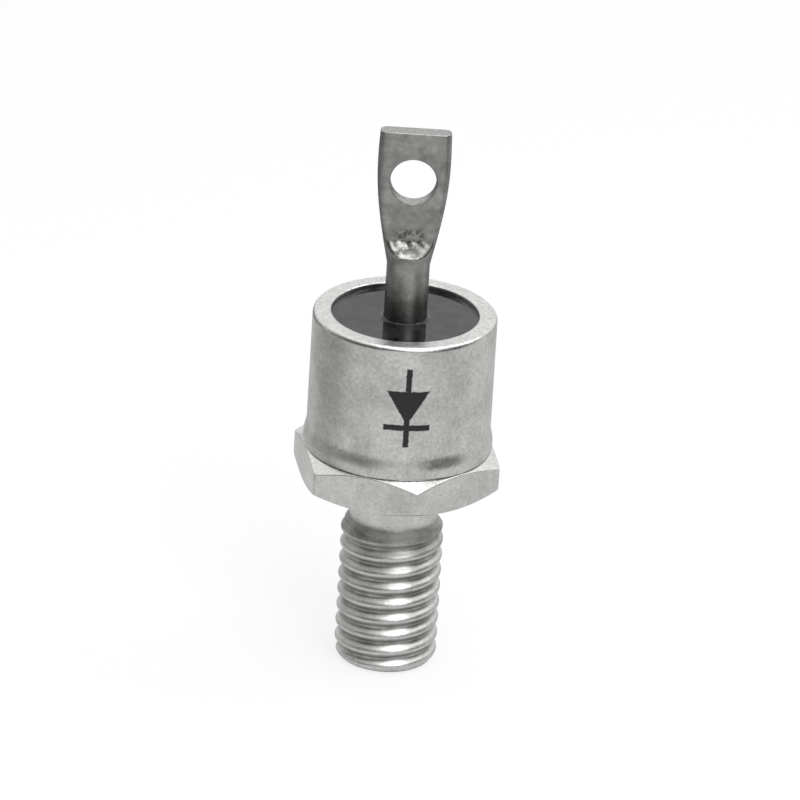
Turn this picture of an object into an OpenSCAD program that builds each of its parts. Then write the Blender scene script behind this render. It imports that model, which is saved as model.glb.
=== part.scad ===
// Stud rectifier diode: a copper stud with a hexagon base, a welded steel can,
// a black glass seal and a tubular terminal that is pressed flat into a solder lug.
// The seating face of the hexagon is at Z = 0, the stud points down, the lug stands across X.

/* [Stud] */
// Outside diameter of the stud thread
thread_d = 6; // [5:0.5:8]
// Distance from the seating face to the end of the stud
stud_len = 11.4; // [9:0.1:16]
// Length of the plain neck between the seating face and the thread
neck_len = 2.4; // [1.5:0.1:3.5]
// How far the neck lies below the crests of the thread
neck_relief = 0.5; // [0.3:0.05:0.8]
// Length of the rounded lead-in at the end of the stud
tip_len = 0.85; // [0.4:0.05:1.5]
// How far the end face lies inside the crests of the thread
tip_inset = 0.65; // [0.3:0.05:1]

/* [Hexagon base] */
// Width across the flats
hex_af = 11; // [9:0.5:14]
// Height of the hexagon
hex_h = 2.2; // [1.6:0.1:4]
// Angle of the turned chamfers on the corners
chamfer_angle = 28; // [15:1:40]
// How far the chamfer starts inside the flats
chamfer_inset = 0.05; // [0.02:0.01:0.3]
// Turn of the hexagon against the lug
hex_turn = 42.5; // [0:0.5:60]
// Height of the round pedestal inside the can
pedestal_h = 0.6; // [0.3:0.1:1.5]
// How far the pedestal reaches past the lower disc
pedestal_margin = 0.6; // [0.2:0.1:1]

/* [Weld ring] */
// Depth of the steel ring that is let into the hexagon
ring_h = 0.5; // [0.3:0.1:0.9]
// How far the ring stays inside the outer wall of the can
ring_inset = 0.2; // [0.1:0.05:0.4]
// How far the ring reaches inwards past the inner wall of the can
ring_reach = 0.12; // [0.05:0.01:0.2]

/* [Can] */
// Height of the can above the hexagon
can_h = 8.3; // [7:0.1:11]
// Thickness of the can wall
can_wall = 1.07; // [0.6:0.01:1.5]
// How far the weld flange stands out from the can wall
flange_lip = 0.15; // [0.1:0.01:0.3]
// Height of the weld flange
flange_h = 0.75; // [0.4:0.05:1.2]
// Height of the concave flare above the flange
flare_h = 0.6; // [0.4:0.05:1]
// Rounding of the outer rim edge
rim_round = 0.22; // [0.1:0.01:0.35]
// Rounding of the inner rim edge
mouth_round = 0.12; // [0.05:0.01:0.2]

/* [Glass seal] */
// Thickness of the glass
seal_t = 2.5; // [1.5:0.1:3.5]
// Depth of the glass below the rim of the can
seal_drop = 0.3; // [0.2:0.05:0.8]

/* [Terminal] */
// Outside diameter of the tube
tube_d = 2.5; // [2:0.1:3]
// Length of the tube that stands out below the glass
tube_tail = 0.3; // [0.1:0.1:0.6]
// Length of the round tube between the glass and the pressed step
tube_free = 4.1; // [3:0.1:6]
// Height of the pressed step where the tube turns flat
step_h = 0.95; // [0.6:0.05:1.6]
// Distance below the step at which the tube begins to widen
widen_drop = 0.7; // [0.3:0.1:1]
// Height of the lug above the start of the step
lug_h = 7.5; // [6:0.1:10]
// Greatest width of the lug
lug_w = 4.2; // [3.6:0.1:6]
// Thickness of the lug
lug_t = 1; // [0.7:0.05:1.4]
// Distance of the widest place below the top of the lug
widest_drop = 1.9; // [1:0.1:3]
// How much the lug narrows from its widest place to its top
top_narrowing = 0.1; // [0:0.05:0.4]
// Diameter of the hole in the lug
lug_hole_d = 2.65; // [1.5:0.05:3]
// Distance of the hole's centre below the top of the lug
lug_hole_drop = 3; // [2.2:0.1:4]

/* [Junction stack] */
// Diameter of the silicon chip
chip_d = 4.4; // [3:0.1:5]
// Thickness of the silicon chip
chip_t = 0.25; // [0.15:0.05:0.4]
// Thickness of each solder layer
solder_t = 0.1; // [0.05:0.01:0.2]
// Thickness of the disc under the chip
lower_disc_t = 0.4; // [0.2:0.05:0.8]
// How far the lower disc reaches past the chip
lower_disc_margin = 0.4; // [0.2:0.05:0.6]
// Thickness of the disc on the chip
upper_disc_t = 0.3; // [0.2:0.05:0.6]
// How far the upper disc stays inside the edge of the chip
upper_disc_inset = 0.6; // [0.3:0.05:0.8]
// Width of the silicone ring around the chip
coating_w = 0.3; // [0.15:0.05:0.4]

/* [Inner lead] */
// Diameter of the inner lead
lead_d = 1.2; // [0.8:0.1:1.4]
// Clearance between the lead and the bore of the tube
lead_clear = 0.05; // [0.02:0.01:0.1]
// Distance of the lead's end below the pressed step
lead_end_gap = 0.1; // [0.05:0.05:0.5]
// Height of the flat head on the lead
head_h = 0.4; // [0.2:0.05:0.8]
// How far the head stays inside the edge of the upper disc
head_inset = 0.3; // [0.1:0.05:0.5]
// Bend radius of the lead's bow, at the middle of the wire
bow_r = 0.75; // [0.7:0.05:1]
// Greatest slope of the bow
bow_slope = 53; // [30:1:60]

/* [Hidden] */
$fn = 96;
cut = 0.1; // how far a cut runs past the face it opens
quarter_turn = 90;
half_turn = 180;
full_turn = 360;

// Stud
thread_r = thread_d / 2;
neck_r = thread_r - neck_relief;
tip_r = thread_r - tip_inset;

// Hexagon
hex_sides = 6;
hex_r = hex_af / 2 / cos(half_turn / hex_sides);
chamfer_r = hex_af / 2 - chamfer_inset;
chamfer_out = hex_r + cut;
chamfer_h = (chamfer_out - chamfer_r) * tan(chamfer_angle);

// Can
can_r = hex_af / 2 - flange_lip;
can_bore_r = can_r - can_wall;
flange_r = can_r + flange_lip;
rim_z = hex_h + can_h;
flare_r = (flare_h * flare_h + flange_lip * flange_lip) / 2 / flange_lip;
flare_sweep = asin(flare_h / flare_r);
arc_steps = 6;
ring_out_r = can_r - ring_inset;
ring_in_r = can_bore_r - ring_reach;

// Seal and terminal
tube_r = tube_d / 2;
tube_bore_r = lead_d / 2 + lead_clear;
seal_top = rim_z - seal_drop;
seal_bottom = seal_top - seal_t;
tube_bottom = seal_bottom - tube_tail;
step_z = seal_top + tube_free;
step_top = step_z + step_h;
widen_z = step_z - widen_drop;
lug_top = step_z + lug_h;
widest_z = lug_top - widest_drop;
lug_hole_z = lug_top - lug_hole_drop;
lug_sides = 40;
low_rings = 10;
high_rings = 10;
seam = 0.01; // how far a pressed shape starts inside the round one that it grows from
round_power = 2; // a superellipse of this power is a circle
flat_power = 5; // and of this power a bar with rounded edges
pinch_w = PI * tube_bore_r; // the bore keeps its girth when it is pressed shut
pinch_t = 0.06;
pinch_rings = 6;

// Junction stack, from the pedestal upwards
lower_disc_r = chip_d / 2 + lower_disc_margin;
upper_disc_r = chip_d / 2 - upper_disc_inset;
head_r = upper_disc_r - head_inset;
pedestal_r = lower_disc_r + pedestal_margin;
base_solder_z = hex_h + pedestal_h;
lower_disc_z = base_solder_z + solder_t;
chip_solder_z = lower_disc_z + lower_disc_t;
chip_z = chip_solder_z + solder_t;
upper_solder_z = chip_z + chip_t;
upper_disc_z = upper_solder_z + solder_t;
lead_solder_z = upper_disc_z + upper_disc_t;
head_z = lead_solder_z + solder_t;

// Inner lead: a bow of three arcs takes up the room below the tube, and a straight wire the rest
bow_z = head_z + head_h;
bow_room = tube_bottom - bow_z;
bow_angle = min(bow_slope, asin(min(1, bow_room / 4 / bow_r)));
bow_rise = 4 * bow_r * sin(bow_angle);
lead_top = step_z - lead_end_gap;
lead_sides = 16;
bow_steps = 5; // rings in each arc of the bow

// Points of an arc in the plane of a turned profile
function arc(centre, r, from, to) =
    [for (i = [0 : arc_steps]) let (a = from + (to - from) * i / arc_steps) centre + r * [cos(a), sin(a)]];

// A smooth ramp from 0 to 1
function ease(s) = let (t = max(0, min(1, s))) t * t * (3 - 2 * t);

// Point of a flattened round with half sizes a and b
function flattened(a, b, power, angle) =
    [a * sign(cos(angle)) * pow(abs(cos(angle)), 2 / power),
     b * sign(sin(angle)) * pow(abs(sin(angle)), 2 / power)];

// Side quads of a stack of rings with the given number of points, and its two end caps
function loft_faces(rings, sides) = concat(
    [[for (j = [0 : sides - 1]) j]],
    [for (i = [0 : rings - 2]) for (j = [0 : sides - 1])
        [i * sides + j, (i + 1) * sides + j, (i + 1) * sides + (j + 1) % sides, i * sides + (j + 1) % sides]],
    [[for (j = [sides - 1 : -1 : 0]) (rings - 1) * sides + j]]);

// Half section of the turned bar, from the pedestal down to the end of the stud
bar_profile = concat(
    [[0, hex_h + pedestal_h], [pedestal_r, hex_h + pedestal_h], [pedestal_r, hex_h]],
    [[ring_in_r, hex_h], [ring_in_r, hex_h - ring_h], [ring_out_r, hex_h - ring_h], [ring_out_r, hex_h]],
    [[chamfer_r, hex_h], [chamfer_out, hex_h - chamfer_h], [chamfer_out, chamfer_h], [chamfer_r, 0]],
    [[neck_r, 0], [neck_r, -neck_len], [thread_r, -neck_len - neck_relief]],
    [for (i = [0 : arc_steps]) let (a = quarter_turn * i / arc_steps)
        [tip_r + tip_inset * cos(a), tip_len - stud_len - tip_len * sin(a)]],
    [[0, -stud_len]]);

// Copper stud, hexagon and pedestal, turned from one hexagonal bar.
// The threaded length of the stud has its thread's outside diameter.
module base_stud() {
    color("silver") intersection() {
        translate([0, 0, -stud_len - cut]) rotate(hex_turn)
            cylinder(r = hex_r, h = stud_len + hex_h + pedestal_h + 2 * cut, $fn = hex_sides);
        rotate_extrude() polygon(bar_profile);
    }
}

// Steel ring let into the top of the hexagon, which the can is welded to
module weld_ring() {
    color("dimgray") translate([0, 0, hex_h - ring_h]) difference() {
        cylinder(r = ring_out_r, h = ring_h);
        translate([0, 0, -cut]) cylinder(r = ring_in_r, h = ring_h + 2 * cut);
    }
}

// Round layer of the junction stack
module layer(r, z, h) {
    translate([0, 0, z]) cylinder(r = r, h = h);
}

module base_solder() {
    color("lightgray") layer(lower_disc_r, base_solder_z, solder_t);
}

// Molybdenum disc between the copper and the chip
module lower_disc() {
    color("gray") layer(lower_disc_r, lower_disc_z, lower_disc_t);
}

module chip_solder() {
    color("lightgray") layer(chip_d / 2, chip_solder_z, solder_t);
}

module silicon_chip() {
    color("slategray") layer(chip_d / 2, chip_z, chip_t);
}

// Silicone ring that seals the edge of the chip
module junction_coating() {
    inner = chip_d / 2;
    color("whitesmoke") rotate_extrude() polygon([
        [inner, chip_solder_z], [inner + coating_w, chip_solder_z],
        [inner + coating_w / 2, upper_solder_z], [inner, upper_solder_z]]);
}

module upper_solder() {
    color("lightgray") layer(upper_disc_r, upper_solder_z, solder_t);
}

// Molybdenum disc between the chip and the lead
module upper_disc() {
    color("gray") layer(upper_disc_r, upper_disc_z, upper_disc_t);
}

module lead_solder() {
    color("lightgray") layer(head_r, lead_solder_z, solder_t);
}

// Offset, height and slope of the bow at s, from 0 to 4: out over one arc, round over two, back over one
function bow_station(s) =
    s <= 1 ? [bow_r * (1 - cos(s * bow_angle)), bow_r * sin(s * bow_angle), s * bow_angle]
    : s >= 3 ? let (back = bow_station(4 - s)) [back.x, bow_rise - back.y, -back.z]
    : let (a = (s - 2) * bow_angle)
        [bow_r * (1 - 2 * cos(bow_angle) + cos(a)), bow_rise / 2 + bow_r * sin(a), -a];

// Ring of points around the lead at a station
function lead_ring(x, z, slope) =
    [for (j = [0 : lead_sides - 1]) let (a = j / lead_sides * full_turn, side = lead_d / 2 * cos(a))
        [x + side * cos(slope), lead_d / 2 * sin(a), z - side * sin(slope)]];

// Copper wire with a flat head, a bow that takes up heat movement and a straight end in the tube
module inner_lead() {
    stations = [for (i = [0 : 4 * bow_steps]) bow_station(i / bow_steps)];
    points = concat(
        lead_ring(0, bow_z - head_h / 2, 0),
        [for (p = stations) each lead_ring(p.x, bow_z + p.y, p.z)],
        lead_ring(0, lead_top, 0));
    color("peru") {
        layer(head_r, head_z, head_h);
        polyhedron(points, loft_faces(len(stations) + 2, lead_sides));
    }
}

// Steel shell with a flared weld flange and a rounded rim
module can() {
    flare_z = hex_h + flange_h + flare_h;
    color("lightgray") rotate_extrude() polygon(concat(
        [[can_bore_r, hex_h], [flange_r, hex_h]],
        arc([can_r + flare_r, flare_z], flare_r, half_turn + flare_sweep, half_turn),
        arc([can_r - rim_round, rim_z - rim_round], rim_round, 0, quarter_turn),
        arc([can_bore_r + mouth_round, rim_z - mouth_round], mouth_round, quarter_turn, half_turn)));
}

// Black glass fused between the can and the tube
module glass_seal() {
    color([0.1, 0.1, 0.11]) translate([0, 0, seal_bottom]) difference() {
        cylinder(r = can_bore_r, h = seal_t);
        translate([0, 0, -cut]) cylinder(r = tube_r, h = seal_t + 2 * cut);
    }
}

// Ring of the lug at height z: round where the tube ends, and flat above the step
function lug_ring(z) =
    let (press = ease((z - step_z) / step_h),
         widen = sin(quarter_turn * max(0, min(1, (z - widen_z) / (widest_z - widen_z)))),
         narrow = max(0, (z - widest_z) / widest_drop),
         from = tube_r - seam,
         a = from + (lug_w / 2 - from) * widen - top_narrowing / 2 * narrow * narrow,
         b = from + (lug_t / 2 - from) * press,
         power = round_power + (flat_power - round_power) * press)
    [for (j = [0 : lug_sides - 1]) let (p = flattened(a, b, power, j / lug_sides * full_turn)) [p.x, p.y, z]];

// Ring of the bore at height z where the step presses it shut
function pinch_ring(z) =
    let (press = ease((z - step_z) / step_h),
         from = tube_bore_r - seam,
         a = from + (pinch_w / 2 - from) * press,
         b = from + (pinch_t / 2 - from) * press)
    [for (j = [0 : lug_sides - 1])
        let (p = flattened(a, b, round_power, j / lug_sides * full_turn)) [p.x, p.y, z]];

module lug_body() {
    heights = concat(
        [widen_z - cut],
        [for (i = [0 : low_rings - 1]) widen_z + (step_top - widen_z) * i / low_rings],
        [for (i = [0 : high_rings]) step_top + (lug_top - step_top) * i / high_rings]);
    polyhedron([for (z = heights) each lug_ring(z)], loft_faces(len(heights), lug_sides));
}

module pinched_bore() {
    translate([0, 0, tube_bottom - cut]) cylinder(r = tube_bore_r, h = step_z - tube_bottom + cut);
    heights = concat([step_z - cut], [for (i = [0 : pinch_rings]) step_z + step_h * i / pinch_rings]);
    polyhedron([for (z = heights) each pinch_ring(z)], loft_faces(len(heights), lug_sides));
}

// Tube through the glass that is pressed flat and drilled as a solder lug
module terminal() {
    color("gray") difference() {
        union() {
            translate([0, 0, tube_bottom]) cylinder(r = tube_r, h = widen_z - tube_bottom);
            lug_body();
        }
        pinched_bore();
        translate([0, tube_d, lug_hole_z]) rotate([quarter_turn, 0, 0])
            cylinder(d = lug_hole_d, h = 2 * tube_d);
    }
}

base_stud();
weld_ring();
base_solder();
lower_disc();
chip_solder();
silicon_chip();
junction_coating();
upper_solder();
upper_disc();
lead_solder();
inner_lead();
can();
glass_seal();
terminal();
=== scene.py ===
import bpy
import bmesh
from math import atan2, cos, hypot, pi, radians, sin, sqrt, tan
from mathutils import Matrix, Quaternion, Vector, noise


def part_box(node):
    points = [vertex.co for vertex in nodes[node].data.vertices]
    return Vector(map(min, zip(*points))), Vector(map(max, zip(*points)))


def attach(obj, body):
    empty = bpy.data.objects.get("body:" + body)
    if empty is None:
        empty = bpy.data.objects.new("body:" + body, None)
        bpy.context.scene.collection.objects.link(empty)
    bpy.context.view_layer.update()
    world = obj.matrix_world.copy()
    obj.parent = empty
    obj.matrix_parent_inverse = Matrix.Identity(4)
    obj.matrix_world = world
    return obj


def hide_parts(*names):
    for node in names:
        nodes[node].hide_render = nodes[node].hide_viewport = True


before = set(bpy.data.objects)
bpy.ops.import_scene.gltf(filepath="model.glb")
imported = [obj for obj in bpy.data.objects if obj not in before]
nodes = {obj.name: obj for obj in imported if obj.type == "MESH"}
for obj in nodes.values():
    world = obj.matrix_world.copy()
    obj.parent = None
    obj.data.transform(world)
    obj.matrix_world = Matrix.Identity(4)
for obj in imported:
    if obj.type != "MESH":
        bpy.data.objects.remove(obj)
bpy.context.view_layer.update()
mm = 0.001
print("frame:", len(nodes), "nodes")

# where the solids stand, in mm
studLow, studHigh = (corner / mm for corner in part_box("base_stud"))
canLow, canHigh = (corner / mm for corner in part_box("can"))
glassLow, glassHigh = (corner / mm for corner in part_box("glass_seal"))
pinLow, pinHigh = (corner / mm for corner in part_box("terminal"))
ringLow, ringHigh = (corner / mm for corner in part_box("weld_ring"))
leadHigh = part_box("inner_lead")[1] / mm


def linear(hexColour):
    channels = [int(hexColour[i:i + 2], 16) / 255 for i in (1, 3, 5)]
    return [c / 12.92 if c <= 0.04045 else ((c + 0.055) / 1.055) ** 2.4 for c in channels] + [1.0]


# adds a node, sets or links its inputs, and hands back one of its outputs
def addNode(tree, kind, inputs=None, out=0, **settings):
    node = tree.nodes.new(kind)
    for name, value in settings.items():
        setattr(node, name, value)
    for key, value in (inputs or {}).items():
        if isinstance(value, bpy.types.NodeSocket):
            tree.links.new(value, node.inputs[key])
        else:
            node.inputs[key].default_value = value
    return node.outputs[out] if node.outputs else node


# values for two inputs in a row: a Map Range reads its range from input 1 on, and gives what is in 3 and 4
def pair(values, first=1):
    return {first: values[0], first + 1: values[1]}


fadeOut = pair((1.0, 0.0), 3)


def newMaterial(name):
    material = bpy.data.materials.new(name)
    material.use_nodes = True
    material.node_tree.nodes.clear()
    return material, material.node_tree


# Nickel from a plating barrel: a neutral satin grey. The bath leaves cloudy patches a few mm wide, a fine
# grain and small pits. Faces that point upwards get a painted highlight: they are painted brighter.
nickelLook = dict(
    pale="#BFBFBD", dull="#ADADAB", pit="#828280", bright="#EAEAE8", edgeTint="#E2E2E2",
    cloudMm=1.8, cloudDetail=4.0, cloudRough=0.6, cloudRange=(0.36, 0.64),
    grainMm=0.2, grainDetail=3.0, grainRough=0.65, grainRange=(0.3, 0.7), grainShare=0.14,
    grainDepthMm=0.003, pitMm=1.1, pitRange=(0.04, 0.09), paintedTopRange=(0.5, 0.85), hazeRange=(0.7, 1.3),
    rough=(0.21, 0.31),
)
# Tin on the tube, gone dull with age: darker, rougher and more patchy than the nickel.
tinLook = dict(
    nickelLook, pale="#8F8F8D", dull="#777775", pit="#484846", bright="#C4C4C2", edgeTint="#B8B8B8",
    cloudMm=0.8, grainShare=0.26, pitMm=0.45, rough=(0.3, 0.44),
)
# Drawn sheet takes the nickel a little duller than the turned base.
canLook = dict(nickelLook, grainShare=0.19, rough=(0.3, 0.4))


# colour, roughness and bump that every plated surface starts from
def platedSkin(tree, look):
    source = addNode(tree, "ShaderNodeTexCoord").node.outputs
    place = source["Object"]
    cloud = addNode(tree, "ShaderNodeTexNoise", {
        "Vector": place, "Scale": 1 / (look["cloudMm"] * mm), "Detail": look["cloudDetail"],
        "Roughness": look["cloudRough"]})
    grain = addNode(tree, "ShaderNodeTexNoise", {
        "Vector": place, "Scale": 1 / (look["grainMm"] * mm), "Detail": look["grainDetail"],
        "Roughness": look["grainRough"]})
    spots = addNode(tree, "ShaderNodeTexVoronoi", {"Vector": place, "Scale": 1 / (look["pitMm"] * mm)})
    upward = addNode(tree, "ShaderNodeSeparateXYZ", {0: source["Normal"]}, out="Z")
    blotch = addNode(tree, "ShaderNodeMapRange", {0: cloud, **pair(look["cloudRange"])})
    clean = addNode(tree, "ShaderNodeMix", {0: blotch, 6: linear(look["pale"]), 7: linear(look["dull"])},
                    out=2, data_type="RGBA")
    # painted highlight: faces that point upwards are mixed towards the bright colour
    paintedTopMask = addNode(tree, "ShaderNodeMapRange", {0: upward, **pair(look["paintedTopRange"])})
    paintedTopColour = addNode(tree, "ShaderNodeMix", {0: paintedTopMask, 6: clean, 7: linear(look["bright"])},
                    out=2, data_type="RGBA")
    share = look["grainShare"]
    speckle = addNode(tree, "ShaderNodeMapRange", {0: grain, **pair(look["grainRange"]),
                                                   **pair((1 - share, 1 + share), 3)})
    grained = addNode(tree, "ShaderNodeVectorMath", {0: paintedTopColour, "Scale": speckle}, operation="SCALE")
    pits = addNode(tree, "ShaderNodeMapRange", {0: spots, **pair(look["pitRange"]), **fadeOut})
    pitted = addNode(tree, "ShaderNodeMath", {0: pits, 1: blotch}, operation="MULTIPLY")
    colour = addNode(tree, "ShaderNodeMix", {0: pitted, 6: grained, 7: linear(look["pit"])},
                     out=2, data_type="RGBA")
    haze = addNode(tree, "ShaderNodeMath", {0: cloud, 1: grain}, operation="ADD")
    rough = addNode(tree, "ShaderNodeMapRange", {0: haze, **pair(look["hazeRange"]),
                                                 **pair(look["rough"], 3)})
    bump = addNode(tree, "ShaderNodeBump", {"Height": grain, "Distance": look["grainDepthMm"] * mm})
    return place, colour, rough, bump


# over adds what lies on the plating: it takes and gives colour and roughness, and says where metal shows
def platedMetal(name, look, over=None):
    material, tree = newMaterial(name)
    place, colour, rough, bump = platedSkin(tree, look)
    metal = 1.0
    if over:
        colour, rough, metal = over(tree, place, colour, rough)
    shade = addNode(tree, "ShaderNodeBsdfPrincipled", {
        "Base Color": colour, "Roughness": rough, "Metallic": metal, "Normal": bump,
        "Specular Tint": linear(look["edgeTint"])})
    addNode(tree, "ShaderNodeOutputMaterial", {"Surface": shade})
    return material


# corner points (r, z, rounding) in mm become an outline with arcs, and a support point beside each arc
def softened(corners, steps=4, support=0.03, spareShare=0.4):
    points = [Vector(corner[:2]) for corner in corners]
    toNext = [b - a for a, b in zip(points, points[1:])]
    halves, reaches = [0.0], [0.0]
    for before, after, corner in zip(toNext, toNext[1:], corners[1:]):
        halves.append((pi - before.angle(after)) / 2)
        reaches.append(corner[2] / tan(halves[-1]))
    halves.append(0.0)
    reaches.append(0.0)
    spare = [(step.length - reaches[i] - reaches[i + 1]) * spareShare for i, step in enumerate(toNext)]
    outline = []
    for i, (here, corner) in enumerate(zip(points, corners)):
        rounding = corner[2]
        if not rounding:
            outline.append(here)
            continue
        back, ahead = -toNext[i - 1].normalized(), toNext[i].normalized()
        middle = here + (back + ahead).normalized() * rounding / sin(halves[i])
        first = here + back * reaches[i] - middle
        last = here + ahead * reaches[i] - middle
        begin = atan2(first.y, first.x)
        sweep = (atan2(last.y, last.x) - begin + pi) % (2 * pi) - pi
        outline.append(here + back * (reaches[i] + min(support, spare[i - 1])))
        for k in range(steps + 1):
            angle = begin + sweep * k / steps
            outline.append(middle + rounding * Vector((cos(angle), sin(angle))))
        outline.append(here + ahead * (reaches[i] + min(support, spare[i])))
    return outline


# rings of points in mm, each ring closed, joined by quads; an end with a single point is a pole
def ringMesh(mesh, rings, loop=False):
    made = [[mesh.verts.new(Vector(p) * mm) for p in ring] for ring in rings]
    pairs = list(zip(made, made[1:])) + ([(made[-1], made[0])] if loop else [])
    for a, b in pairs:
        count = max(len(a), len(b))
        for j in range(count):
            k = (j + 1) % count
            corners = [a[j % len(a)], a[k % len(a)], b[k % len(b)], b[j % len(b)]]
            mesh.faces.new(list(dict.fromkeys(corners)))


def eased(share):
    return share * share * (3 - 2 * share)


# rings of an outline that turns about the axis, where a radius of 0 is a pole
def turned(outline, sides, start=0.0):
    angles = [start + 2 * pi * j / sides for j in range(sides)]
    return [[(r * cos(a), r * sin(a), z) for a in angles] if r else [(0, 0, z)] for r, z in outline]


mergeMm = 0.0005


def finishMesh(name, mesh, material):
    bmesh.ops.remove_doubles(mesh, verts=mesh.verts, dist=mergeMm * mm)
    bmesh.ops.recalc_face_normals(mesh, faces=mesh.faces)
    data = bpy.data.meshes.new(name)
    mesh.to_mesh(data)
    mesh.free()
    data.materials.append(material)
    for face in data.polygons:
        face.use_smooth = True
    piece = bpy.data.objects.new(name, data)
    bpy.context.scene.collection.objects.link(piece)
    print(name, len(data.polygons), "faces")
    return piece


# stud and hexagon are turned from one bar, sizes in mm
hexagon = dict(acrossFlats=11.0, turn=radians(42.5), chamfer=radians(28), chamferInset=0.05, edge=0.055,
               cornerPower=64, sides=288, seatFillet=0.18, pedestalR=3.2, ringInR=4.16)
stud = dict(pitch=1.0, depth=0.31, crestBlend=0.05, neckR=2.5, neckLen=2.4, neckBlend=0.35, threadR=3.0,
            tipLen=0.85, tipInset=0.65, phase=radians(-65), runOut=0.5, joinZ=-1.9, rows=216, tipShare=0.1)


# the thread follows a rule: the distance to a helix sets how deep the groove is
def threadTree():
    tree = bpy.data.node_groups.new("rolled_thread", "GeometryNodeTree")
    face = tree.interface
    face.new_socket("Geometry", in_out="OUTPUT", socket_type="NodeSocketGeometry")
    kinds = dict.fromkeys(("Sides", "Rows"), "NodeSocketInt")
    kinds.update(dict.fromkeys((
        "Outer Radius", "Depth", "Crest Blend", "Pitch", "Phase", "Neck Radius", "Neck End", "Neck Blend",
        "Run Out", "Top", "Tip Start", "Tip Length", "Tip Inset", "Tip Share", "Turn"), "NodeSocketFloat"))
    kinds["Material"] = "NodeSocketMaterial"
    sockets = {name: face.new_socket(name, in_out="INPUT", socket_type=kind) for name, kind in kinds.items()}
    given = tree.nodes.new("NodeGroupInput").outputs

    # a flat grid is wrapped round the axis
    columns = addNode(tree, "ShaderNodeMath", {0: given["Sides"], 1: 1.0}, operation="ADD")
    grid = addNode(tree, "GeometryNodeMeshGrid", {"Size X": 1.0, "Size Y": 1.0, "Vertices X": columns,
                                                  "Vertices Y": given["Rows"]})
    flat = addNode(tree, "GeometryNodeInputPosition")
    spread = addNode(tree, "ShaderNodeSeparateXYZ", {0: flat}).node.outputs
    around = addNode(tree, "ShaderNodeMath", {0: spread["X"], 1: 0.5}, operation="ADD")
    along = addNode(tree, "ShaderNodeMath", {0: spread["Y"], 1: 0.5}, operation="ADD")
    angle = addNode(tree, "ShaderNodeMath", {0: around, 1: 2 * pi, 2: given["Turn"]},
                    operation="MULTIPLY_ADD")

    # the first rows run down the shaft, the last ones round the tip
    body = addNode(tree, "ShaderNodeMath", {0: 1.0, 1: given["Tip Share"]}, operation="SUBTRACT")
    shaft = addNode(tree, "ShaderNodeMapRange", {0: along, 1: 0.0, 2: body, 3: given["Top"],
                                                 4: given["Tip Start"]})
    swing = addNode(tree, "ShaderNodeMapRange", {0: along, 1: body, 2: 1.0, 3: 0.0, 4: pi / 2})
    dip = addNode(tree, "ShaderNodeMath", {0: swing}, operation="SINE")
    drop = addNode(tree, "ShaderNodeMath", {0: dip, 1: given["Tip Length"]}, operation="MULTIPLY")
    height = addNode(tree, "ShaderNodeMath", {0: shaft, 1: drop}, operation="SUBTRACT")

    # outline before the thread is rolled: neck, fillet, cone, shaft and tip
    below = addNode(tree, "ShaderNodeMath", {0: given["Neck End"], 1: height}, operation="SUBTRACT")
    swell = addNode(tree, "ShaderNodeMath", {0: below, 1: 0.0, 2: given["Neck Blend"]},
                    operation="SMOOTH_MAX")
    cone = addNode(tree, "ShaderNodeMath", {0: given["Neck Radius"], 1: swell}, operation="ADD")
    curl = addNode(tree, "ShaderNodeMath", {0: swing}, operation="COSINE")
    inset = addNode(tree, "ShaderNodeMath", {0: 1.0, 1: curl}, operation="SUBTRACT")
    inward = addNode(tree, "ShaderNodeMath", {0: inset, 1: given["Tip Inset"]}, operation="MULTIPLY")
    nose = addNode(tree, "ShaderNodeMath", {0: given["Outer Radius"], 1: inward}, operation="SUBTRACT")
    bar = addNode(tree, "ShaderNodeMath", {0: cone, 1: nose}, operation="MINIMUM")

    # a rounded groove follows the helix, and fades out towards the neck
    end = addNode(tree, "ShaderNodeMath", {0: given["Tip Start"], 1: given["Tip Length"]},
                  operation="SUBTRACT")
    rise = addNode(tree, "ShaderNodeMath", {0: height, 1: end}, operation="SUBTRACT")
    pitches = addNode(tree, "ShaderNodeMath", {0: rise, 1: given["Pitch"]}, operation="DIVIDE")
    swept = addNode(tree, "ShaderNodeMath", {0: angle, 1: given["Phase"]}, operation="SUBTRACT")
    turns = addNode(tree, "ShaderNodeMath", {0: swept, 1: 2 * pi}, operation="DIVIDE")
    helix = addNode(tree, "ShaderNodeMath", {0: pitches, 1: turns}, operation="SUBTRACT")
    phase = addNode(tree, "ShaderNodeMath", {0: helix, 1: 2 * pi}, operation="MULTIPLY")
    wave = addNode(tree, "ShaderNodeMath", {0: phase}, operation="COSINE")
    groove = addNode(tree, "ShaderNodeMath", {0: wave, 1: 0.5, 2: 0.5}, operation="MULTIPLY_ADD")
    fade = addNode(tree, "ShaderNodeMath", {0: below, 1: given["Run Out"]}, operation="DIVIDE",
                   use_clamp=True)
    faded = addNode(tree, "ShaderNodeMath", {0: groove, 1: fade}, operation="MULTIPLY")
    cut = addNode(tree, "ShaderNodeMath", {0: faded, 1: given["Depth"]}, operation="MULTIPLY")
    rolled = addNode(tree, "ShaderNodeMath", {0: given["Outer Radius"], 1: cut}, operation="SUBTRACT")
    radius = addNode(tree, "ShaderNodeMath", {0: rolled, 1: bar, 2: given["Crest Blend"]},
                     operation="SMOOTH_MIN")

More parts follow.
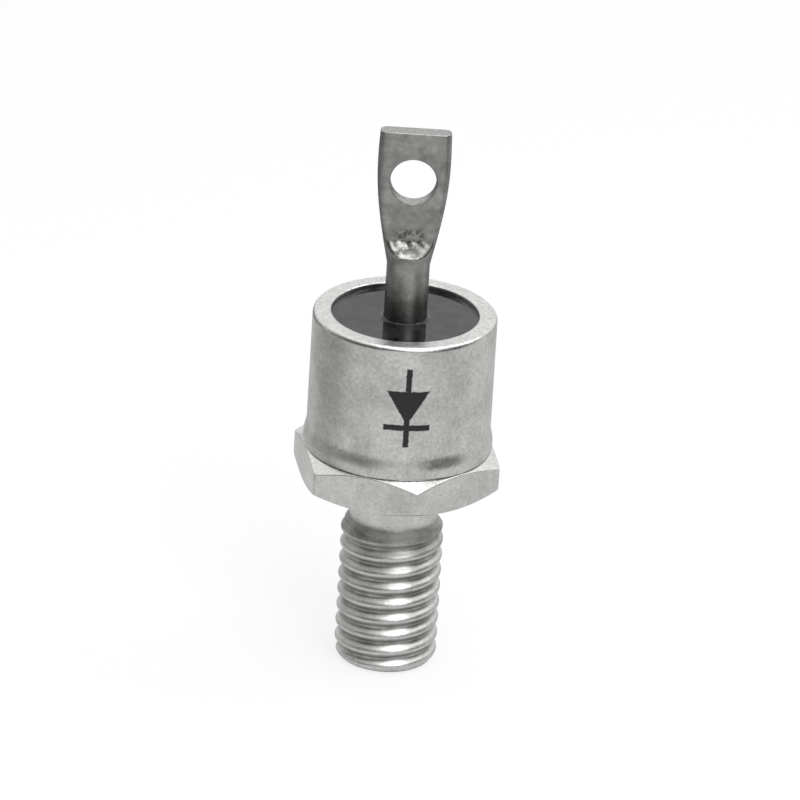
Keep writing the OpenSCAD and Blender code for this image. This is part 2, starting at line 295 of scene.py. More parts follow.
    cosine = addNode(tree, "ShaderNodeMath", {0: angle}, operation="COSINE")
    sine = addNode(tree, "ShaderNodeMath", {0: angle}, operation="SINE")
    east = addNode(tree, "ShaderNodeMath", {0: cosine, 1: radius}, operation="MULTIPLY")
    north = addNode(tree, "ShaderNodeMath", {0: sine, 1: radius}, operation="MULTIPLY")
    spot = addNode(tree, "ShaderNodeCombineXYZ", {"X": east, "Y": north, "Z": height})
    metres = addNode(tree, "ShaderNodeVectorMath", {0: spot, "Scale": mm}, operation="SCALE")
    bent = addNode(tree, "GeometryNodeSetPosition", {"Geometry": grid, "Position": metres})
    whole = addNode(tree, "GeometryNodeRealizeInstances", {0: bent})
    done = addNode(tree, "GeometryNodeSetMaterial", {0: whole, "Material": given["Material"]})
    addNode(tree, "NodeGroupOutput", {0: done})
    return tree, sockets


def rolledThread(material):
    tree, sockets = threadTree()
    blank = bpy.data.objects.new("threadBlank", bpy.data.meshes.new("threadBlank"))
    bpy.context.scene.collection.objects.link(blank)
    cut = blank.modifiers.new("thread", "NODES")
    cut.node_group = tree
    values = {
        "Sides": hexagon["sides"], "Rows": stud["rows"], "Outer Radius": stud["threadR"],
        "Depth": stud["depth"], "Crest Blend": stud["crestBlend"], "Pitch": stud["pitch"],
        "Phase": stud["phase"], "Neck Radius": stud["neckR"], "Neck End": -stud["neckLen"],
        "Neck Blend": stud["neckBlend"], "Run Out": stud["runOut"], "Top": stud["joinZ"],
        "Tip Start": studLow.z + stud["tipLen"], "Tip Length": stud["tipLen"],
        "Tip Inset": stud["tipInset"], "Tip Share": stud["tipShare"], "Turn": hexagon["turn"],
        "Material": material,
    }
    for name, value in values.items():
        cut[sockets[name].identifier] = value
    ready = blank.evaluated_get(bpy.context.evaluated_depsgraph_get())
    data = bpy.data.meshes.new_from_object(ready)
    blank.modifiers.remove(cut)
    bpy.data.objects.remove(blank)
    return data


# distance from the axis to the softened hexagon's side
def hexReach(angle):
    flat = hexagon["acrossFlats"] / 2
    power = hexagon["cornerPower"]
    facing = [max(0.0, cos(angle - hexagon["turn"] - pi / 6 - k * pi / 3)) for k in range(6)]
    return flat / sum(f ** power for f in facing) ** (1 / power)


def baseStud(material):
    top = canLow.z
    pedestal, ringIn, ringOut = hexagon["pedestalR"], hexagon["ringInR"], ringHigh.x
    inner = hexagon["acrossFlats"] / 2 - hexagon["chamferInset"]
    edge = hexagon["edge"]
    columns = []
    for j in range(hexagon["sides"]):
        angle = hexagon["turn"] + 2 * pi * j / hexagon["sides"]
        reach = hexReach(angle)
        slope = (reach - inner) * tan(hexagon["chamfer"])
        outline = softened([
            (pedestal, studHigh.z, 0), (pedestal, top, 0), (ringIn, top, 0),
            (ringIn, ringLow.z, 0), (ringOut, ringLow.z, 0), (ringOut, top, 0),
            (inner, top, edge), (reach, top - slope, edge), (reach, slope, edge), (inner, 0, edge),
            (stud["neckR"], 0, hexagon["seatFillet"]), (stud["neckR"], stud["joinZ"], 0)])
        columns.append([(r * cos(angle), r * sin(angle), z) for r, z in outline])
    rings = [[column[i] for column in columns] for i in range(len(columns[0]))]
    mesh = bmesh.new()
    ringMesh(mesh, [[(0, 0, studHigh.z)]] + rings)
    mesh.from_mesh(rolledThread(material))
    tipR = stud["threadR"] - stud["tipInset"]
    ringMesh(mesh, turned([(tipR, studLow.z), (tipR / 2, studLow.z), (0, studLow.z)],
                          hexagon["sides"], hexagon["turn"]))
    return finishMesh("threadedBase", mesh, material)


# Rolling leaves the thread duller than the hexagon, its first turns most of all. Painted shade, in patches,
# darkens those first turns under the hexagon and the thread's roots.
threadLook = dict(paintedShade="#585856", rough=0.4, firstRough=0.6, rootShare=0.62, firstMm=1.7, firstShare=0.7,
                  startShare=0.25, patchMm=1.1, patchRange=(0.35, 0.65), patch=(0.45, 1.25))


def paintedThreadShade(tree, place, colour, rough):
    spot = addNode(tree, "ShaderNodeSeparateXYZ", {0: place}).node.outputs
    flat = addNode(tree, "ShaderNodeCombineXYZ", {"X": spot["X"], "Y": spot["Y"]})
    radius = addNode(tree, "ShaderNodeVectorMath", {0: flat}, out="Value", operation="LENGTH")
    rootR = (stud["threadR"] - stud["depth"]) * mm
    neckEnd, blend = -stud["neckLen"] * mm, stud["neckBlend"] * mm
    firstTurns = pair((neckEnd - threadLook["firstMm"] * mm, neckEnd))
    shadeStart = neckEnd + blend * threadLook["startShare"]
    dull = addNode(tree, "ShaderNodeMapRange", {0: spot["Z"], **pair((neckEnd + blend, neckEnd))})
    below = addNode(tree, "ShaderNodeMapRange", {0: spot["Z"], **pair((shadeStart, neckEnd - blend))})
    deep = addNode(tree, "ShaderNodeMapRange", {0: radius, 1: rootR, 2: rootR + stud["depth"] / 2 * mm,
                                                3: threadLook["rootShare"], 4: 0.0})
    first = addNode(tree, "ShaderNodeMapRange", {0: spot["Z"], **firstTurns, 4: threadLook["firstShare"]})
    darkest = addNode(tree, "ShaderNodeMath", {0: deep, 1: first}, operation="MAXIMUM")
    cloud = addNode(tree, "ShaderNodeTexNoise", {"Vector": place, "Scale": 1 / (threadLook["patchMm"] * mm)})
    patchy = addNode(tree, "ShaderNodeMapRange", {0: cloud, **pair(threadLook["patchRange"]),
                                                  **pair(threadLook["patch"], 3)})
    share = addNode(tree, "ShaderNodeMath", {0: darkest, 1: patchy}, operation="MULTIPLY")
    # painted shade: the roots and the first turns under the hexagon are mixed, in patches, towards a dark
    # grey
    paintedShadeMask = addNode(tree, "ShaderNodeMath", {0: below, 1: share}, operation="MULTIPLY", use_clamp=True)
    shadedColour = addNode(tree, "ShaderNodeMix", {0: paintedShadeMask, 6: colour, 7: linear(threadLook["paintedShade"])},
                      out=2, data_type="RGBA")
    rolled = addNode(tree, "ShaderNodeMapRange", {0: spot["Z"], **firstTurns, 3: threadLook["rough"],
                                                  4: threadLook["firstRough"]})
    roughened = addNode(tree, "ShaderNodeMix", {0: dull, 2: rough, 3: rolled})
    return shadedColour, roughened, 1.0


threadedBase = baseStud(platedMetal("nickel_plated_copper_satin", nickelLook, paintedThreadShade))
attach(threadedBase, "root")
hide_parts("base_stud")

# the can is drawn from sheet, with a flare at its foot, sizes in mm
canShape = dict(wallR=5.35, flareLow=0.5, flareHigh=1.45, flareSteps=16, rimRound=0.28, mouthRound=0.12,
                rimSteps=8, footRound=0.14, sides=256)


def shell(material):
    top, low = canHigh.z, canLow.z
    bore, wall, flange = glassHigh.x, canShape["wallR"], canHigh.x
    foot = softened([(bore, low, 0), (flange, low, canShape["footRound"]),
                     (flange, low + canShape["flareLow"], 0)])
    flare = []
    for k in range(1, canShape["flareSteps"]):
        share = k / canShape["flareSteps"]
        height = canShape["flareLow"] + (canShape["flareHigh"] - canShape["flareLow"]) * share
        flare.append(Vector((flange + (wall - flange) * eased(share), low + height)))
    upper = softened([(wall, low + canShape["flareHigh"], 0), (wall, top, canShape["rimRound"]),
                      (bore, top, canShape["mouthRound"]), (bore, low, 0)], steps=canShape["rimSteps"])
    mesh = bmesh.new()
    ringMesh(mesh, turned(foot + flare + upper[:-1], canShape["sides"]), loop=True)
    return finishMesh("canShell", mesh, material)


# Black stamping ink, semi-matt: a plain diode symbol with the arrow towards the stud, sizes in mm.
inkLook = dict(colour="#141414", rough=0.5, turn=radians(5), centreZ=6.75, arrowW=2.5, arrowH=2.1, barW=2.7,
               barH=0.36, leadW=0.34, leadH=4.9, ragged=0.07, raggedMm=0.14, blur=0.03)


def inkMark(tree, place, colour, rough):
    spot = addNode(tree, "ShaderNodeSeparateXYZ", {0: place}).node.outputs
    ahead = addNode(tree, "ShaderNodeMath", {0: spot["Y"], 1: -1.0}, operation="MULTIPLY")
    angle = addNode(tree, "ShaderNodeMath", {0: spot["X"], 1: ahead}, operation="ARCTAN2")
    turn = addNode(tree, "ShaderNodeMath", {0: angle, 1: inkLook["turn"]}, operation="SUBTRACT")
    around = addNode(tree, "ShaderNodeMath", {0: turn, 1: canShape["wallR"]}, operation="MULTIPLY")
    side = addNode(tree, "ShaderNodeMath", {0: around}, operation="ABSOLUTE")
    up = addNode(tree, "ShaderNodeMath", {0: spot["Z"], 1: 1 / mm, 2: -inkLook["centreZ"]},
                 operation="MULTIPLY_ADD")

    # each shape is how far a point lies outside it
    slope = inkLook["arrowW"] / 2 / inkLook["arrowH"]
    flank = addNode(tree, "ShaderNodeMath", {0: up, 1: slope, 2: inkLook["arrowW"] / 4},
                    operation="MULTIPLY_ADD")
    pastFlank = addNode(tree, "ShaderNodeMath", {0: side, 1: flank}, operation="SUBTRACT")
    pastBack = addNode(tree, "ShaderNodeMath", {0: up, 1: inkLook["arrowH"] / 2}, operation="SUBTRACT")
    shapes = [addNode(tree, "ShaderNodeMath", {0: pastFlank, 1: pastBack}, operation="MAXIMUM")]
    barZ = -(inkLook["arrowH"] + inkLook["barH"]) / 2
    for width, height, middle in ((inkLook["barW"], inkLook["barH"], barZ),
                                  (inkLook["leadW"], inkLook["leadH"], 0.0)):
        wide = addNode(tree, "ShaderNodeMath", {0: side, 1: width / 2}, operation="SUBTRACT")
        level = addNode(tree, "ShaderNodeMath", {0: up, 1: middle}, operation="SUBTRACT")
        off = addNode(tree, "ShaderNodeMath", {0: level}, operation="ABSOLUTE")
        tall = addNode(tree, "ShaderNodeMath", {0: off, 1: height / 2}, operation="SUBTRACT")
        shapes.append(addNode(tree, "ShaderNodeMath", {0: wide, 1: tall}, operation="MAXIMUM"))
    nearest = shapes[0]
    for shape in shapes[1:]:
        nearest = addNode(tree, "ShaderNodeMath", {0: nearest, 1: shape}, operation="MINIMUM")
    ragged = addNode(tree, "ShaderNodeTexNoise", {"Vector": place, "Scale": 1 / (inkLook["raggedMm"] * mm)})
    edge = addNode(tree, "ShaderNodeMath", {0: ragged, 1: inkLook["ragged"] * 2, 2: -inkLook["ragged"]},
                   operation="MULTIPLY_ADD")
    outside = addNode(tree, "ShaderNodeMath", {0: nearest, 1: edge}, operation="ADD")
    blur = inkLook["blur"]
    ink = addNode(tree, "ShaderNodeMapRange", {0: outside, **pair((-blur, blur)), **fadeOut})

    printed = addNode(tree, "ShaderNodeMix", {0: ink, 6: colour, 7: linear(inkLook["colour"])},
                      out=2, data_type="RGBA")
    matted = addNode(tree, "ShaderNodeMix", {0: ink, 2: rough, 3: inkLook["rough"]})
    bare = addNode(tree, "ShaderNodeMath", {0: 1.0, 1: ink}, operation="SUBTRACT")
    return printed, matted, bare


canShell = shell(platedMetal("nickel_plated_steel_satin", canLook, inkMark))
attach(canShell, "root")
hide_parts("can")

# Sealing glass, fused in place: black, with a fire-polished skin that mirrors the pin.
glassLook = dict(deep="#070708", grey="#2A2A2B", ior=1.51, rough=(0.05, 0.12), roughRange=(0.3, 0.7),
                 clotMm=0.7, clotDetail=3.0, clotRange=(0.35, 0.65), rippleMm=1.8, rippleDetail=1.0,
                 rippleDepthMm=0.01, rippleStrength=0.5)
# the glass creeps up the pin and the wall, sizes in mm
sealShape = dict(wallCreep=0.06, pinCreep=0.14, creepW=0.26, steps=40, sides=192)


def fusedGlass(name, look):
    material, tree = newMaterial(name)
    place = addNode(tree, "ShaderNodeTexCoord", out="Object")
    clot = addNode(tree, "ShaderNodeTexNoise", {"Vector": place, "Scale": 1 / (look["clotMm"] * mm),
                                                "Detail": look["clotDetail"]})
    patch = addNode(tree, "ShaderNodeMapRange", {0: clot, **pair(look["clotRange"])})
    colour = addNode(tree, "ShaderNodeMix", {0: patch, 6: linear(look["deep"]), 7: linear(look["grey"])},
                     out=2, data_type="RGBA")
    rough = addNode(tree, "ShaderNodeMapRange", {0: clot, **pair(look["roughRange"]),
                                                 **pair(look["rough"], 3)})
    ripple = addNode(tree, "ShaderNodeTexNoise", {"Vector": place, "Scale": 1 / (look["rippleMm"] * mm),
                                                  "Detail": look["rippleDetail"]})
    bump = addNode(tree, "ShaderNodeBump", {"Height": ripple, "Distance": look["rippleDepthMm"] * mm,
                                            "Strength": look["rippleStrength"]})
    shade = addNode(tree, "ShaderNodeBsdfPrincipled", {"Base Color": colour, "Roughness": rough,
                                                       "IOR": look["ior"], "Normal": bump})
    addNode(tree, "ShaderNodeOutputMaterial", {"Surface": shade})
    return material


def seal(material):
    bore, tube = glassHigh.x, pinHigh.y
    top, low = glassHigh.z, glassLow.z
    crown = []
    for k in range(sealShape["steps"] + 1):
        r = tube + (bore - tube) * k / sealShape["steps"]
        nearPin = max(0.0, 1 - (r - tube) / sealShape["creepW"])
        nearWall = max(0.0, 1 - (bore - r) / sealShape["creepW"])
        creep = sealShape["pinCreep"] * nearPin ** 2 + sealShape["wallCreep"] * nearWall ** 2
        crown.append((r, top + creep))
    mesh = bmesh.new()
    ringMesh(mesh, turned([(tube, low)] + crown + [(bore, low)], sealShape["sides"]), loop=True)
    return finishMesh("glassSeal", mesh, material)


glassSeal = seal(fusedGlass("sealing_glass_fused_black", glassLook))
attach(glassSeal, "root")
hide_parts("glass_seal")

# the terminal is a tube that is pressed flat above a step and drilled, sizes in mm
lug = dict(stepZ=14.3, stepH=0.95, pressPower=1.7, widenZ=13.6, widestZ=19.9, topW=4.1, thick=1.0,
           edgeBlend=0.3, blendRamp=4, topRound=0.035, topSteps=4, capShares=(0.7, 0.35), footRound=0.05,
           rowMm=0.06, sides=160, outlineSteps=720, boreR=0.65, boreSpare=0.05)
crimp = dict(lumpMm=0.34, depth=0.075, halfW=1.25, height=1.35, low=0.05, bow=0.25)
hole = dict(radius=1.325, z=18.8, flare=0.09, flareDepth=0.3, proud=0.02, reach=0.6, steps=8, sides=96,
            sharp=radians(32))


# points of a closed outline, spread evenly along it
def evenly(outline, count):
    lengths = [0.0]
    for p, q in zip(outline, outline[1:] + outline[:1]):
        lengths.append(lengths[-1] + hypot(q[0] - p[0], q[1] - p[1]))
    spread, i = [], 0
    for j in range(count):
        goal = lengths[-1] * j / count
        while lengths[i + 1] < goal:
            i += 1
        p, q = outline[i], outline[(i + 1) % len(outline)]
        share = (goal - lengths[i]) / (lengths[i + 1] - lengths[i])
        spread.append((p[0] + (q[0] - p[0]) * share, p[1] + (q[1] - p[1]) * share))
    return spread


# section of the terminal at a height: a tube that spreads to the sides and is pressed between two flat dies
def lugSection(z, shrink=0.0):
    tube = pinHigh.y
    rise = max(0.0, min(1.0, (z - lug["stepZ"]) / lug["stepH"]))
    press = 1 - (1 - rise) ** lug["pressPower"]
    widen = sin(pi / 2 * max(0.0, min(1.0, (z - lug["widenZ"]) / (lug["widestZ"] - lug["widenZ"]))))
    narrow = max(0.0, (z - lug["widestZ"]) / (pinHigh.z - lug["widestZ"]))
    half = tube + (pinHigh.x - tube) * widen - (pinHigh.x - lug["topW"] / 2) * narrow ** 2 - shrink
    die = tube + (lug["thick"] / 2 - tube) * press - shrink
    blend = lug["edgeBlend"] * min(1.0, press * lug["blendRamp"])
    dense = []
    for j in range(lug["outlineSteps"]):
        angle = 2 * pi * j / lug["outlineSteps"]
        y = abs(sin(angle)) * (tube - shrink)
        if blend:
            h = max(blend - abs(y - die), 0.0) / blend
            y = min(y, die) - h * h * blend / 4
        dense.append((half * cos(angle), y if sin(angle) >= 0 else -y))
    return evenly(dense, lug["sides"])


def terminalBody(material):
    top, low, tube = pinHigh.z, pinLow.z, pinHigh.y
    bore, shut, foot = lug["boreR"], leadHigh.z + lug["boreSpare"], lug["footRound"]
    rings = turned([(0, shut)] + softened([(bore, shut, 0), (bore, low, foot), (tube, low, foot),
                                           (tube, glassHigh.z, 0)]), lug["sides"])
    rows = int((top - lug["widenZ"]) / lug["rowMm"])
    for i in range(rows):
        z = lug["widenZ"] + (top - lug["topRound"] - lug["widenZ"]) * i / (rows - 1)
        rings.append([(x, y, z) for x, y in lugSection(z)])
    for k in range(1, lug["topSteps"] + 1):
        swing = pi / 2 * k / lug["topSteps"]
        z = top - lug["topRound"] * (1 - sin(swing))
        rings.append([(x, y, z) for x, y in lugSection(z, lug["topRound"] * (1 - cos(swing)))])
    for share in lug["capShares"]:
        rings.append([(x * share, y * share, top) for x, y, z in rings[-1]])
    rings.append([(0, 0, top)])
    mesh = bmesh.new()
    ringMesh(mesh, rings)
    return finishMesh("terminalLug", mesh, material)


# the die leaves torn lumps where the tube's front and back wall fold into the flat
def pressLumps(piece):
    for vert in piece.data.vertices:
        x, y, z = vert.co / mm
        side = max(0.0, 1 - (x / crimp["halfW"]) ** 2)
        rise = (z - lug["stepZ"] - crimp["low"] - crimp["bow"] * x * x) / crimp["height"]
        band = max(0.0, 1 - (2 * rise - 1) ** 2)
        if side * band > 0 and abs(y) > lug["boreR"] / 2:
            ripple = noise.noise(Vector((x, y, z)) / crimp["lumpMm"])
            vert.co += vert.normal * crimp["depth"] * sqrt(side * band) * ripple * mm


# Torn metal in the fold: matt, with a lumpy painted highlight over its left half, and dark specks above it.
# The four heights of a band are where it starts, is full, thins out and ends, in mm above the step.
foldLook = dict(torn="#6C6C6A", paintedGlint="#D0D0CE", speck="#3C3C3A", rough=0.44, halfMm=1.1,
                foldBand=(-0.1, 0.15, 0.5, 1.3), glintSide=(-0.8, 0.6), clotMm=0.5, clotRange=(0.42, 0.58),
                speckBand=(0.25, 0.75, 1.3, 1.9), speckMm=0.2, speckRange=(0.5, 0.58), speckShare=0.75)


def tornFold(tree, place, colour, rough):
    spot = addNode(tree, "ShaderNodeSeparateXYZ", {0: place}).node.outputs

    def band(heights):
        levels = [(lug["stepZ"] + height) * mm for height in heights]
        rise = addNode(tree, "ShaderNodeMapRange", {0: spot["Z"], **pair(levels[:2])},
                       interpolation_type="SMOOTHSTEP")
        fall = addNode(tree, "ShaderNodeMapRange", {0: spot["Z"], **pair(levels[2:]), **fadeOut},
                       interpolation_type="SMOOTHSTEP")
        return addNode(tree, "ShaderNodeMath", {0: rise, 1: fall}, operation="MULTIPLY")

    off = addNode(tree, "ShaderNodeMath", {0: spot["X"]}, operation="ABSOLUTE")
    half = foldLook["halfMm"] * mm
    middle = addNode(tree, "ShaderNodeMapRange", {0: off, **pair((half / 2, half)), **fadeOut})
    fold = addNode(tree, "ShaderNodeMath", {0: band(foldLook["foldBand"]), 1: middle}, operation="MULTIPLY")
    # painted highlight: the fold's left half is mixed, in lumps, towards a pale grey
    sides = [edge * mm for edge in foldLook["glintSide"]]
    left = addNode(tree, "ShaderNodeMapRange", {0: spot["X"], **pair(sides), **fadeOut})
    clot = addNode(tree, "ShaderNodeTexNoise", {"Vector": place, "Scale": 1 / (foldLook["clotMm"] * mm)})
    lumpy = addNode(tree, "ShaderNodeMapRange", {0: clot, **pair(foldLook["clotRange"])})
    bright = addNode(tree, "ShaderNodeMath", {0: left, 1: lumpy}, operation="MULTIPLY")
    paintedGlint = addNode(tree, "ShaderNodeMix", {0: bright, 6: linear(foldLook["torn"]),
                                            7: linear(foldLook["paintedGlint"])}, out=2, data_type="RGBA")
    dulled = addNode(tree, "ShaderNodeMix", {0: fold, 6: colour, 7: paintedGlint}, out=2, data_type="RGBA")
    above = addNode(tree, "ShaderNodeMath", {0: band(foldLook["speckBand"]), 1: middle},
                    operation="MULTIPLY")
    tear = addNode(tree, "ShaderNodeTexNoise", {"Vector": place, "Scale": 1 / (foldLook["speckMm"] * mm)})
    speck = addNode(tree, "ShaderNodeMapRange", {0: tear, **pair(foldLook["speckRange"]),
                                                 4: foldLook["speckShare"]})
    dark = addNode(tree, "ShaderNodeMath", {0: above, 1: speck}, operation="MULTIPLY")
    specked = addNode(tree, "ShaderNodeMix", {0: dark, 6: dulled, 7: linear(foldLook["speck"])},
                      out=2, data_type="RGBA")
    matted = addNode(tree, "ShaderNodeMix", {0: fold, 2: rough, 3: foldLook["rough"]})
    return specked, matted, 1.0


def drill(piece):
    half = lug["thick"] / 2 + hole["proud"]
    outline = [(0, -half - hole["reach"]), (hole["radius"] + 2 * hole["flare"], -half - hole["reach"])]
    for k in range(hole["steps"] + 1):
        share = k / hole["steps"]
        flare = hole["flare"] * (1 - share) ** 2
        outline.append((hole["radius"] + flare, -half + hole["flareDepth"] * share))
    outline += [(r, -y) for r, y in reversed(outline)]
    rings = [[(x, -z, y + hole["z"]) for x, y, z in ring] for ring in turned(outline, hole["sides"])]
    mesh = bmesh.new()
    ringMesh(mesh, rings)
    cutter = finishMesh("drillCutter", mesh, piece.data.materials[0])
    bore = piece.modifiers.new("hole", "BOOLEAN")
    bore.operation = "DIFFERENCE"
    bore.solver = "EXACT"
    bore.object = cutter
    ready = piece.evaluated_get(bpy.context.evaluated_depsgraph_get())
    drilled = bpy.data.meshes.new_from_object(ready)
    piece.modifiers.remove(bore)
    piece.data = drilled
    piece.data.set_sharp_from_angle(angle=hole["sharp"])
    bpy.data.objects.remove(cutter)


terminalLug = terminalBody(platedMetal("tinned_tube_dull", tinLook, tornFold))
pressLumps(terminalLug)
drill(terminalLug)
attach(terminalLug, "root")
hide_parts("terminal")

# pieces sealed inside keep their solids and take a finish of their own
innerLooks = {
    "steel_turned_bare": dict(pale="#9C9C9C", dull="#868686"),  # a darker grey than the plating
    "solder_reflowed_dull": dict(pale="#B4B4B6", dull="#98989A"),  # soft pale grey
    "molybdenum_lapped": dict(pale="#A3A3A6", dull="#8E8E92"),  # cool mid grey
    "silicon_lapped": dict(pale="#6F7480", dull="#5C606B", bright="#7A808C",
                           rough=(0.15, 0.25)),  # glossy blue grey
    "copper_drawn_bare": dict(pale="#DE9C7C", dull="#C27E60", pit="#8A4F3A", bright="#E8AE90",
                              edgeTint="#FFE8DC"),  # pinkish brown
}
innerFinish = {
    "weld_ring": "steel_turned_bare", "base_solder": "solder_reflowed_dull",
    "lower_disc": "molybdenum_lapped", "chip_solder": "solder_reflowed_dull",
    "silicon_chip": "silicon_lapped", "junction_coating": "silicone_cast_milky",
    "upper_solder": "solder_reflowed_dull", "upper_disc": "molybdenum_lapped",
    "lead_solder": "solder_reflowed_dull", "inner_lead": "copper_drawn_bare",
}
# Silicone, cast round the chip: milky, soft and slightly glossy.
siliconeLook = dict(pale="#E2E2DC", dark="#CFCFC8", milkMm=0.6, rough=0.4, ior=1.41)


def castSilicone(name, look):
    material, tree = newMaterial(name)
    place = addNode(tree, "ShaderNodeTexCoord", out="Object")
    milk = addNode(tree, "ShaderNodeTexNoise", {"Vector": place, "Scale": 1 / (look["milkMm"] * mm)})
    tone = addNode(tree, "ShaderNodeMix", {0: milk, 6: linear(look["pale"]), 7: linear(look["dark"])},
                   out=2, data_type="RGBA")
    shade = addNode(tree, "ShaderNodeBsdfPrincipled", {"Base Color": tone, "Roughness": look["rough"],
                                                       "IOR": look["ior"]})
    addNode(tree, "ShaderNodeOutputMaterial", {"Surface": shade})
    return material


finishes = {name: platedMetal(name, dict(nickelLook, **look)) for name, look in innerLooks.items()}
finishes["silicone_cast_milky"] = castSilicone("silicone_cast_milky", siliconeLook)
for nodeName, finishName in innerFinish.items():
    nodes[nodeName].data.materials.clear()
    nodes[nodeName].data.materials.append(finishes[finishName])
print("inner pieces:", len(innerFinish), "finished")

# White paper sweep: pale, with faint fibres. It shows as a white ground that keeps the object's shadow, and
# far off as pure white, up to above the horizon.
paper = dict(radiusMm=1200, bendMm=40, wallMm=100, bendSteps=12, sides=96, pale="#F6F6F6", dark="#F1F1F1",
             fibreMm=0.4, glow=0.8, nearMm=60, farMm=600)
# Grey cards out of the picture darken what the metal mirrors: two close by on the left, at two heights, and
# one farther off at each side of the camera. Azimuth is in degrees to the right of the camera, sizes are in
# metres.
cards = [
    dict(name="leftCard", azimuth=-100, distance=0.027, left=0.008, right=0.017, low=-0.009, high=0.012,
         grey="#BCBCBC"),
    dict(name="highLeftCard", azimuth=-100, distance=0.027, left=0.04, right=-0.008, low=-0.0005, high=0.012,
         grey="#969696"),
    dict(name="frontLeftCard", azimuth=-55, distance=0.08, left=0.056, right=0.052, low=-0.011, high=0.018,
         grey="#8A8A8A"),
    dict(name="frontRightCard", azimuth=56, distance=0.08, left=0.036, right=0.036, low=-0.011, high=0.03,
         grey="#484848"),
]
cardShift = (0.95, 1.05)  # how far the fibres shift a card's grey


def whitePaper():
    material, tree = newMaterial("paper_sweep_white")
    ray = addNode(tree, "ShaderNodeLightPath").node.outputs
    mirrored = addNode(tree, "ShaderNodeMath", {0: ray["Is Camera Ray"], 1: ray["Is Glossy Ray"]},
                       operation="ADD")
    shown = addNode(tree, "ShaderNodeMath", {0: mirrored, 1: ray["Is Transmission Ray"]}, operation="ADD",
                    use_clamp=True)
    place = addNode(tree, "ShaderNodeTexCoord", out="Object")
    away = addNode(tree, "ShaderNodeVectorMath", {0: place}, out="Value", operation="LENGTH")
    glow = addNode(tree, "ShaderNodeMapRange", {0: away, 1: paper["nearMm"] * mm, 2: paper["farMm"] * mm,
                                                3: paper["glow"], 4: 1.0})
    share = addNode(tree, "ShaderNodeMath", {0: shown, 1: glow}, operation="MULTIPLY")
    fibre = addNode(tree, "ShaderNodeTexNoise", {"Vector": place, "Scale": 1 / (paper["fibreMm"] * mm)})
    tint = addNode(tree, "ShaderNodeMix", {0: fibre, 6: linear(paper["pale"]), 7: linear(paper["dark"])},
                   out=2, data_type="RGBA")
    lit = addNode(tree, "ShaderNodeBsdfDiffuse", {"Color": tint})
    white = addNode(tree, "ShaderNodeEmission", {"Strength": 1.0})
    mix = addNode(tree, "ShaderNodeMixShader", {0: share, 1: lit, 2: white})
    addNode(tree, "ShaderNodeOutputMaterial", {"Surface": mix})
    return material


def greyPaper(grey):
    material, tree = newMaterial("paper_dyed_grey")
    place = addNode(tree, "ShaderNodeTexCoord", out="Object")
    fibre = addNode(tree, "ShaderNodeTexNoise", {"Vector": place, "Scale": 1 / (paper["fibreMm"] * mm)})
    shift = addNode(tree, "ShaderNodeMapRange", {0: fibre, **pair(cardShift, 3)})
    tint = addNode(tree, "ShaderNodeVectorMath", {0: linear(grey)[:3], "Scale": shift}, operation="SCALE")
    lit = addNode(tree, "ShaderNodeBsdfDiffuse", {"Color": tint})
    addNode(tree, "ShaderNodeOutputMaterial", {"Surface": lit})
    return material


def paperSweep(material):
    wide, low = paper["radiusMm"], studLow.z
    outline = softened([(0, low, 0), (wide, low, paper["bendMm"]), (wide, low + paper["wallMm"], 0)],
                       steps=paper["bendSteps"])
    mesh = bmesh.new()
    ringMesh(mesh, turned(outline, paper["sides"]))
    finishMesh("paperSweep", mesh, material)


def card(spec):
    a = radians(spec["azimuth"])
    away, along = Vector((sin(a), -cos(a), 0)) * spec["distance"], Vector((cos(a), sin(a), 0))
    ends = away - along * spec["left"], away + along * spec["right"]
    low, high = Vector((0, 0, spec["low"])), Vector((0, 0, spec["high"]))
    corners = [ends[0] + low, ends[1] + low, ends[1] + high, ends[0] + high]
    data = bpy.data.meshes.new(spec["name"])
    data.from_pydata(corners, [], [range(len(corners))])
    data.materials.append(greyPaper(spec["grey"]))
    flag = bpy.data.objects.new(spec["name"], data)
    bpy.context.scene.collection.objects.link(flag)
    flag.visible_camera = False
    flag.visible_diffuse = False
    flag.visible_shadow = False


paperSweep(whitePaper())
for spec in cards:
    card(spec)
print("stage:", len(cards), "cards")

# the room: white behind the object and overhead, dark behind the camera
room = dict(front=0.05, back=1.1, frontY=-0.35, backY=0.55, top=0.9, topLow=0.5, topHigh=0.85)
world = bpy.data.worlds.new("studio")
bpy.context.scene.world = world
world.use_nodes = True
tree = world.node_tree
tree.nodes.clear()
heading = addNode(tree, "ShaderNodeTexCoord", out="Generated")
toward = addNode(tree, "ShaderNodeSeparateXYZ", {0: heading}).node.outputs
behind = addNode(tree, "ShaderNodeMapRange", {0: toward["Y"], 1: room["frontY"], 2: room["backY"],
                                              3: room["front"], 4: room["back"]},
                 interpolation_type="SMOOTHSTEP")
above = addNode(tree, "ShaderNodeMapRange", {0: toward["Z"], 1: room["topLow"], 2: room["topHigh"], 3: 0.0,
                                             4: room["top"]}, interpolation_type="SMOOTHSTEP")
level = addNode(tree, "ShaderNodeMath", {0: behind, 1: above}, operation="MAXIMUM")
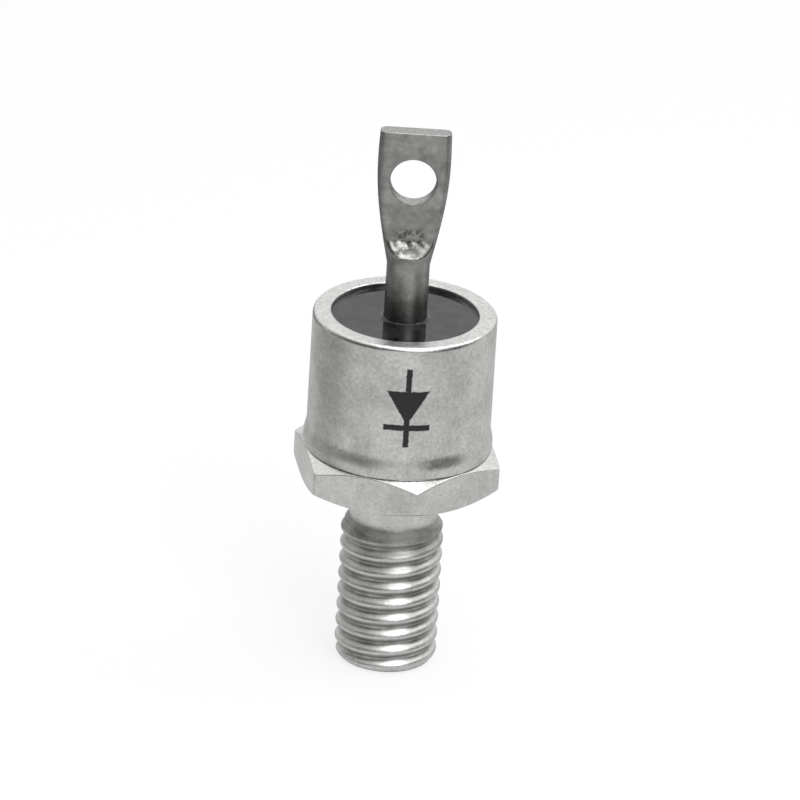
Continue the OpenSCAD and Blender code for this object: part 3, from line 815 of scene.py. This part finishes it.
sky = addNode(tree, "ShaderNodeBackground", {"Strength": level})
addNode(tree, "ShaderNodeOutputWorld", {"Surface": sky})

# azimuth is counted to the right of the camera, sizes are in metres, radiance is what a mirror would show
lamps = [
    dict(name="keyLamp", azimuth=24, elevation=50, distance=0.30, width=0.16, height=0.32, radiance=3.8),
    dict(name="sideLamp", azimuth=104, elevation=50, distance=0.30, width=0.07, height=0.12, radiance=5.0),
    dict(name="lowLamp", azimuth=4, elevation=3, distance=0.12, width=0.09, height=0.036, radiance=0.42),
    dict(name="topLamp", azimuth=0, elevation=88, distance=0.35, width=0.24, height=0.24, radiance=0.95),
]
for spec in lamps:
    lamp = bpy.data.lights.new(spec["name"], "AREA")
    lamp.shape = "RECTANGLE"
    lamp.size = spec["width"]
    lamp.size_y = spec["height"]
    lamp.energy = spec["radiance"] * pi * spec["width"] * spec["height"]
    holder = bpy.data.objects.new(spec["name"], lamp)
    a, e = radians(spec["azimuth"]), radians(spec["elevation"])
    away = Vector((sin(a) * cos(e), -cos(a) * cos(e), sin(e)))
    holder.location = away * spec["distance"]
    holder.rotation_euler = (-away).to_track_quat("-Z", "Y").to_euler()
    bpy.context.scene.collection.objects.link(holder)
print("lamps:", len(lamps))

# the camera stands at the photograph's angle, where the object leans a little to the right
shot = dict(lens=467.5, sensor=36, clipStart=0.01, distance=0.6022, elevation=radians(23.93),
            lean=radians(3.5), aimZ=4.905 * mm)
camera = bpy.data.objects.new("camera", bpy.data.cameras.new("camera"))
camera.data.lens = shot["lens"]
camera.data.sensor_width = shot["sensor"]
camera.data.clip_start = shot["clipStart"]
back = Vector((0, -cos(shot["elevation"]), sin(shot["elevation"])))
camera.location = Vector((0, 0, shot["aimZ"])) + back * shot["distance"]
camera.rotation_mode = "QUATERNION"
camera.rotation_quaternion = Quaternion(back, shot["lean"]) @ (-back).to_track_quat("-Z", "Y")
bpy.context.scene.collection.objects.link(camera)
bpy.context.scene.camera = camera
bpy.context.scene.view_settings.view_transform = "Standard"
print("camera set")
